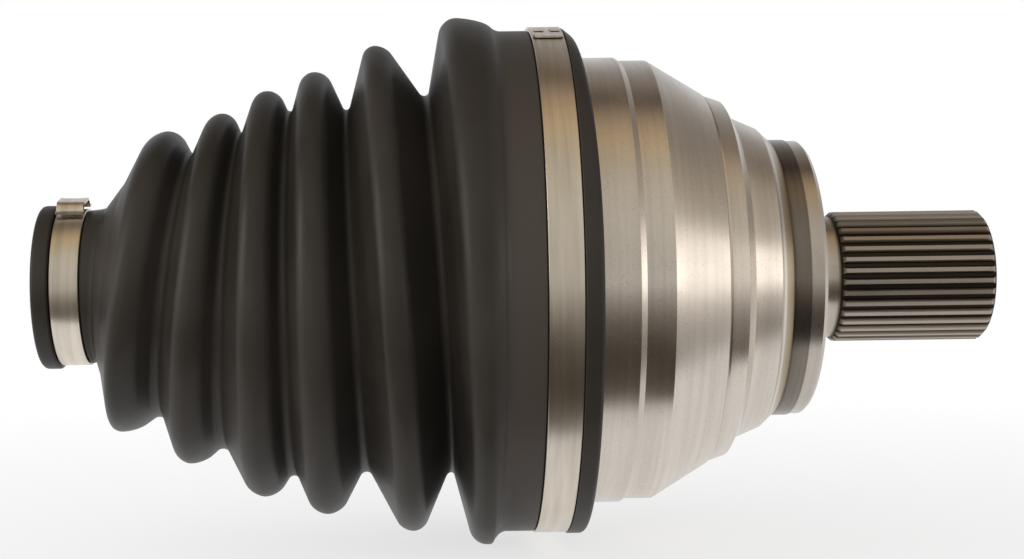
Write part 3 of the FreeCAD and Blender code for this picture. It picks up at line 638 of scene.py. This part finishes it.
class OBJECT_OT_ear_clamp(bpy.types.Operator):
    """Bend the small clamp's strip and squeeze its ear"""

    bl_idname = "object.ear_clamp"
    bl_label = "Ear Clamp"

    def execute(self, context):
        shape = context.scene.joint_clamps
        seat = SHAFT_RADIUS + context.scene.joint_boot.small_seat_wall + SEAT_GAP
        outer = seat + shape.small_strip
        ring = bmesh.new()
        strip_ring(ring, EAR_LOW.x, EAR_HIGH.x, seat, outer, shape.edge)

        ear = bmesh.new()
        half, sheet = shape.ear_length / 2, shape.ear_sheet
        foot, roof = outer - 0.0001, outer + shape.ear_rise - sheet / 2
        toe, step, slant, dimple, dimple_half = 0.0012, 0.0001, 0.0004, 0.0003, 0.0025
        spots = [(-half - toe, foot), (-half, foot + step), (-half + slant, roof)]
        spots += [(-side, height) for side, height in reversed(spots)]
        path = [ear.verts.new((EAR_LOW.x + 0.0001, side, height)) for side, height in spots]
        for first, second in zip(path, path[1:]):
            ear.edges.new((first, second))
        bmesh.ops.bevel(
            ear, geom=path[2:-2], offset=0.0011, offset_type="OFFSET", affect="VERTICES",
            segments=4, profile=0.5, material=-1,
        )
        width = EAR_HIGH.x - EAR_LOW.x - 0.0002
        steps = 10
        front = list(ear.edges)
        for _step in range(steps):
            made = bmesh.ops.extrude_edge_only(ear, edges=front)["geom"]
            moved = [item for item in made if isinstance(item, bmesh.types.BMVert)]
            bmesh.ops.translate(ear, verts=moved, vec=(width / steps, 0, 0))
            front = [
                item for item in made
                if isinstance(item, bmesh.types.BMEdge) and all(vert in moved for vert in item.verts)
            ]
        middle = (EAR_LOW.x + EAR_HIGH.x) / 2
        for vert in ear.verts:
            rise = max(0.0, (vert.co.z - outer) / shape.ear_rise)
            squeeze = shape.ear_pinch * rise * (1 - ((vert.co.x - middle) / (width / 2)) ** 4)
            vert.co.y -= math.copysign(min(squeeze, abs(vert.co.y)), vert.co.y)
            vert.co.z -= dimple * rise * max(0.0, 1 - (vert.co.y / dimple_half) ** 2)
        bmesh.ops.recalc_face_normals(ear, faces=ear.faces)
        bmesh.ops.solidify(ear, geom=list(ear.faces), thickness=sheet)
        add_mesh(ring, ear)
        bmesh.ops.rotate(
            ring, verts=ring.verts, cent=(0, 0, 0), matrix=Matrix.Rotation(shape.ear_turn, 3, "X"),
        )
        clamp = finish_mesh(ring, "ear_clamp")
        clamp.data.materials.append(strip_steel("ear_strip"))
        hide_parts("small_clamp")
        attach(clamp, "race")
        return {"FINISHED"}


class OBJECT_OT_steel_parts(bpy.types.Operator):
    """Give the steel parts of the joint their finishes"""

    bl_idname = "object.steel_parts"
    bl_label = "Steel Parts"

    def execute(self, context):
        dress("joint_bell", turned_steel())
        ground = plain_steel("ground_steel", (0.46, 0.43, 0.40), 0.3, 500, (1, 1, 0.05))
        dress("inner_race", ground)
        dress("ball_cage", plain_steel("phosphate_steel", (0.22, 0.21, 0.20), 0.45, 900, (1, 1, 1)))
        polished = plain_steel("polished_steel", (0.74, 0.74, 0.75), 0.12, 300, (1, 1, 1))
        for number in range(1, 7):
            dress(f"ball_{number}", polished)
        dress("circlip", plain_steel("spring_steel", (0.30, 0.29, 0.28), 0.35, 900, (1, 0.2, 0.2)))
        dress("sealing_cap", plain_steel("zinc_plate", (0.62, 0.60, 0.54), 0.32, 400, (1, 1, 1)))
        strip = strip_steel("clamp_strip")
        dress("large_clamp", strip)
        dress("small_clamp", strip)
        return {"FINISHED"}


def glossy_only(piece):
    """Hide a studio card from the camera, from diffuse light and from shadows."""
    piece.visible_camera = False
    piece.visible_diffuse = False
    piece.visible_shadow = False


def stage_mesh(work, name):
    """An object of the stage from a bmesh."""
    mesh = bpy.data.meshes.new(name)
    work.to_mesh(mesh)
    work.free()
    piece = bpy.data.objects.new(name, mesh)
    bpy.context.scene.collection.objects.link(piece)
    return piece


def card_material(name, build):
    """A glowing card whose colour is worked out by build(tree, object coordinates)."""
    material = bpy.data.materials.new(name)
    material.use_nodes = True
    tree = material.node_tree
    tree.nodes.clear()
    place = tree.nodes.new("ShaderNodeTexCoord").outputs["Object"]
    glow = add_node(tree, "ShaderNodeEmission", Color=build(tree, place))
    output = tree.nodes.new("ShaderNodeOutputMaterial")
    tree.links.new(glow.outputs["Emission"], output.inputs["Surface"])
    return material


def tent_glow(tree, place):
    """Colours of the light tent by its angle above the front horizon, and on its right side."""
    parts = add_node(tree, "ShaderNodeSeparateXYZ", Vector=place)
    front = maths(tree, "MULTIPLY", parts.outputs["Y"], -1.0)
    share = maths(tree, "DIVIDE", maths(tree, "ARCTAN2", parts.outputs["Z"], front), math.pi)
    ramp = add_node(tree, "ShaderNodeValToRGB", Fac=share)
    set_ramp(ramp, [
        (0.0, (0.53, 0.50, 0.46)),
        (0.06, (0.57, 0.54, 0.50)),
        (0.15, (0.65, 0.63, 0.57)),
        (0.24, (0.62, 0.575, 0.52)),
        (0.29, (0.55, 0.515, 0.43)),
        (0.335, (0.53, 0.47, 0.365)),
        (0.385, (0.64, 0.48, 0.295)),
        (0.44, (0.49, 0.37, 0.235)),
        (0.50, (0.34, 0.265, 0.20)),
        (0.525, (0.10, 0.078, 0.06)),
        (0.58, (0.115, 0.09, 0.072)),
        (0.635, (0.235, 0.20, 0.175)),
        (0.725, (0.34, 0.325, 0.31)),
        (0.857, (0.72, 0.74, 0.76)),
        (1.0, (0.9, 0.9, 0.9)),
    ])
    right = add_node(tree, "ShaderNodeValToRGB", Fac=share)
    set_ramp(right, [
        (0.0, (0.52, 0.48, 0.43)),
        (0.31, (0.48, 0.435, 0.38)),
        (0.43, (0.46, 0.41, 0.345)),
        (0.50, (0.36, 0.32, 0.275)),
        (0.56, (0.29, 0.255, 0.22)),
        (0.66, (0.26, 0.24, 0.215)),
        (0.76, (0.42, 0.41, 0.40)),
        (0.857, (0.75, 0.76, 0.77)),
        (1.0, (0.9, 0.9, 0.9)),
    ])
    aside = remap(tree, parts.outputs["X"], 0.5, 1.5, 0, 1)
    return mix_colour(tree, aside, ramp.outputs["Color"], right.outputs["Color"])


def table_glow(tree, place):
    """Colours of the table as reflections see it: a painted shadow, dark in front of the object, and
    light to its right.
    """
    parts = add_node(tree, "ShaderNodeSeparateXYZ", Vector=place)
    flat = add_node(tree, "ShaderNodeCombineXYZ", X=parts.outputs["X"], Y=parts.outputs["Y"])
    share = remap(tree, length_of(tree, flat.outputs[0]), 0.0, 1.0, 1, 0)
    ramp = add_node(tree, "ShaderNodeValToRGB", Fac=share)
    set_ramp(ramp, [
        (0.0, (0.46, 0.43, 0.40)),
        (0.65, (0.36, 0.33, 0.30)),
        (0.744, (0.25, 0.226, 0.205)),
        (0.844, (0.113, 0.104, 0.084)),
        (0.893, (0.062, 0.050, 0.040)),
        (0.922, (0.070, 0.059, 0.045)),
        (0.943, (0.087, 0.069, 0.053)),
        (1.0, (0.10, 0.08, 0.065)),
    ])
    right = add_node(tree, "ShaderNodeValToRGB", Fac=share)
    set_ramp(right, [
        (0.0, (1.0, 0.95, 0.90)),
        (0.75, (0.56, 0.53, 0.50)),
        (0.86, (0.31, 0.285, 0.26)),
        (0.91, (0.155, 0.13, 0.105)),
        (1.0, (0.15, 0.125, 0.10)),
    ])
    forward = maths(tree, "MULTIPLY", parts.outputs["Y"], -1.0)
    aside = remap(tree, maths(tree, "DIVIDE", parts.outputs["X"], forward), 0.8, 1.7, 0, 1)
    return mix_colour(tree, aside, ramp.outputs["Color"], right.outputs["Color"])


def direct_rays(tree):
    """One for camera, glossy and transmission rays, nought for the rest."""
    seen = tree.nodes.new("ShaderNodeLightPath")
    direct = maths(tree, "MAXIMUM", seen.outputs["Is Camera Ray"], seen.outputs["Is Glossy Ray"])
    return maths(tree, "MAXIMUM", direct, seen.outputs["Is Transmission Ray"])


class OBJECT_OT_photo_stage(bpy.types.Operator):
    """Set up the pale floor, the light tent, the lamps and the camera"""

    bl_idname = "object.photo_stage"
    bl_label = "Studio Stage"

    def execute(self, context):
        scene = context.scene
        stage = scene.joint_stage
        scene.view_settings.view_transform = "Standard"
        lowest = CAD_BOX[0].z - FLOOR_GAP

        work = bmesh.new()
        level = Matrix.Translation((0, 0, lowest))
        bmesh.ops.create_grid(work, x_segments=1, y_segments=1, size=FLOOR_HALF, matrix=level)
        floor = stage_mesh(work, "floor")
        material = bpy.data.materials.new("pale_floor")
        material.use_nodes = True
        tree = material.node_tree
        shader = tree.nodes["Principled BSDF"]
        shader.inputs["Base Color"].default_value = (0.9, 0.9, 0.9, 1)
        shader.inputs["Roughness"].default_value = 0.9
        glow = add_node(tree, "ShaderNodeEmission", Color=(1, 1, 1, 1), Strength=1.0)
        place = tree.nodes.new("ShaderNodeTexCoord").outputs["Object"]
        near = maths(tree, "DIVIDE", 1.0, maths(tree, "ADD", length_of(tree, place), stage.distance))
        fade = remap(tree, near, *FLOOR_NEARNESS, *FLOOR_GLOW)
        share = maths(tree, "MULTIPLY", fade, direct_rays(tree))
        mixed = tree.nodes.new("ShaderNodeMixShader")
        tree.links.new(share, mixed.inputs[0])
        tree.links.new(shader.outputs[0], mixed.inputs[1])
        tree.links.new(glow.outputs[0], mixed.inputs[2])
        tree.links.new(mixed.outputs[0], tree.nodes["Material Output"].inputs["Surface"])
        floor.data.materials.append(material)

        work = bmesh.new()
        ends = [work.verts.new((side, -TENT_RADIUS, 0)) for side in (-TENT_HALF, TENT_HALF)]
        around = dict(cent=(0, 0, 0), axis=(1, 0, 0), angle=-math.pi, steps=48)
        bmesh.ops.spin(work, geom=ends + [work.edges.new(ends)], **around)
        tent = stage_mesh(work, "light_tent")
        tent.data.materials.append(card_material("tent_cloth", tent_glow))
        glossy_only(tent)

        work = bmesh.new()
        spread = Matrix.Diagonal((*CARD_HALF, 1, 1))
        middle = Matrix.Translation((0, CARD_MIDDLE, lowest + CARD_LIFT))
        bmesh.ops.create_grid(work, x_segments=1, y_segments=1, size=1, matrix=middle @ spread)
        # The front card paints the table's shade in front of the object, seen only in reflections.
        table = stage_mesh(work, "front_card")
        table.data.materials.append(card_material("front_card", table_glow))
        glossy_only(table)

        for settings in LAMPS:
            self.lamp(*settings)

        world = bpy.data.worlds.new("studio")
        scene.world = world
        world.use_nodes = True
        tree = world.node_tree
        background = tree.nodes["Background"]
        background.inputs["Color"].default_value = (1, 1, 1, 1)
        strength = remap(tree, direct_rays(tree), 0, 1, *WORLD_GLOW)
        tree.links.new(strength, background.inputs["Strength"])

        data = bpy.data.cameras.new("camera")
        data.sensor_width = 36
        data.lens = stage.focal_length
        data.shift_x = stage.shift
        data.clip_start, data.clip_end = 0.01, 20
        camera = bpy.data.objects.new("camera", data)
        scene.collection.objects.link(camera)
        camera.matrix_world = (
            Matrix.Translation((stage.along, -stage.distance, stage.height))
            @ Matrix.Rotation(math.pi / 2, 4, "X")
            @ Matrix.Rotation(-stage.roll, 4, "Z")
        )
        scene.camera = camera
        return {"FINISHED"}

    def lamp(self, name, place, size, power, tint, in_reflections):
        """A rectangular softbox that faces the joint."""
        data = bpy.data.lights.new(name, "AREA")
        data.shape = "RECTANGLE"
        data.size, data.size_y = size
        data.energy = power
        data.color = tint
        lamp = bpy.data.objects.new(name, data)
        bpy.context.scene.collection.objects.link(lamp)
        lamp.location = place
        lamp.rotation_mode = "QUATERNION"
        lamp.rotation_quaternion = (-Vector(place)).to_track_quat("-Z", "Y")
        lamp.visible_glossy = in_reflections
        lamp.visible_camera = False


class VIEW3D_PT_joint_looks(bpy.types.Panel):
    """The joint's steps and looks"""

    bl_label = "Joint Looks"
    bl_space_type = "VIEW_3D"
    bl_region_type = "UI"
    bl_category = "Joint"

    def draw(self, context):
        layout = self.layout
        for operator in OPERATORS:
            layout.operator(operator.bl_idname)


SETTINGS = {
    "joint_boot": BootShape,
    "joint_clamps": ClampShape,
    "joint_steel": SteelLook,
    "joint_rubber": RubberLook,
    "joint_stage": StageSet,
}
OPERATORS = (
    OBJECT_OT_photo_stage,
    OBJECT_OT_steel_parts,
    OBJECT_OT_moulded_boot,
    OBJECT_OT_band_clamp,
    OBJECT_OT_ear_clamp,
)


def register():
    """Register the classes and hang their settings on the scene."""
    for name, settings in SETTINGS.items():
        bpy.utils.register_class(settings)
        setattr(bpy.types.Scene, name, PointerProperty(type=settings))
    for operator in OPERATORS:
        bpy.utils.register_class(operator)
    bpy.utils.register_class(VIEW3D_PT_joint_looks)


def unregister():
    """Undo what register did."""
    bpy.utils.unregister_class(VIEW3D_PT_joint_looks)
    for operator in reversed(OPERATORS):
        bpy.utils.unregister_class(operator)
    for name, settings in SETTINGS.items():
        delattr(bpy.types.Scene, name)
        bpy.utils.unregister_class(settings)


def main():
    """Dress the joint."""
    register()
    for operator in OPERATORS:
        group, name = operator.bl_idname.split(".")
        getattr(getattr(bpy.ops, group), name)()


if __name__ == "__main__":
    main()
